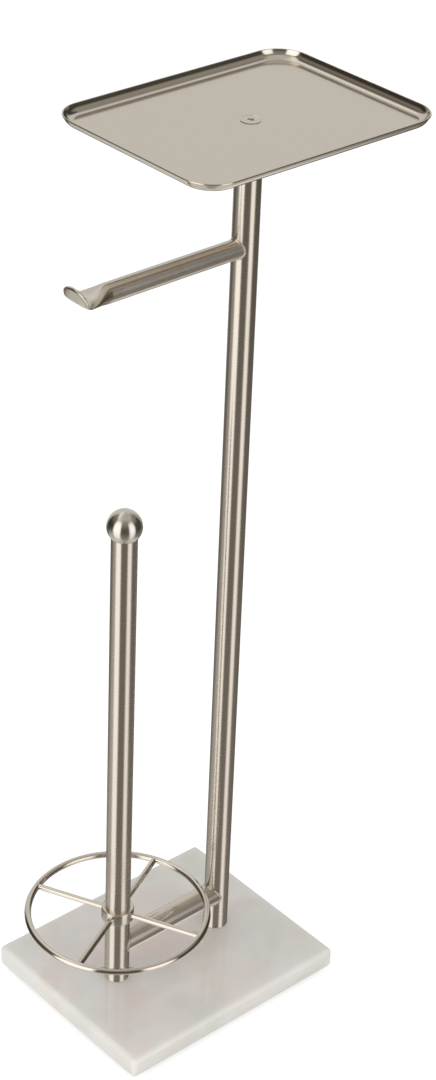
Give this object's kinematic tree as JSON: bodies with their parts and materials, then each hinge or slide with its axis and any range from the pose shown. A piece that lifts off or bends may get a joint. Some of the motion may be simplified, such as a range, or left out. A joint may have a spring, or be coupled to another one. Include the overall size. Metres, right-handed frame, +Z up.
{
  "type": "freestanding toilet paper holder",
  "caption": "Floor-standing toilet paper holder: marble base, roll arm with an upturned end, storage post with ball finial and guard ring, and a shallow shelf tray on top.",
  "frame": {"origin": "on the floor under the middle of the base, at the underside of the non-slip pad", "axes": "+Z up, +X from the storage post towards the main pole, +Y across the base; the roll arm points along -X"},
  "size_m": [0.2416, 0.1474, 0.6271],
  "materials": {
    "brushed_nickel": "satin brushed, warm nickel tone",
    "marble": "polished white marble with faint grey clouds",
    "zinc_steel": "zinc-plated hidden hardware",
    "rubber": "matt black non-slip sheet"
  },
  "bodies": {
    "root": {"base_slab": "marble", "base_pad": "rubber", "main_pole": "brushed_nickel", "pole_foot_washer": "zinc_steel", "pole_foot_bolt": "zinc_steel", "pole_foot_insert": "zinc_steel", "pole_arm_anchor": "zinc_steel", "pole_top_insert": "zinc_steel", "storage_post": "brushed_nickel", "post_foot_washer": "zinc_steel", "post_foot_bolt": "zinc_steel", "post_foot_insert": "zinc_steel", "post_top_insert": "zinc_steel", "finial_stud": "zinc_steel", "finial_ball": "brushed_nickel", "crossbar": "brushed_nickel", "ring_hub": "brushed_nickel", "ring_spoke_1": "brushed_nickel", "ring_spoke_2": "brushed_nickel", "ring_spoke_3": "brushed_nickel", "ring_spoke_4": "brushed_nickel", "guard_ring": "brushed_nickel", "roll_arm": "brushed_nickel", "arm_insert": "zinc_steel", "arm_stud": "zinc_steel", "shelf_tray": "brushed_nickel", "tray_flange": "brushed_nickel", "tray_screw": "brushed_nickel"}
  },
  "joints": []
}
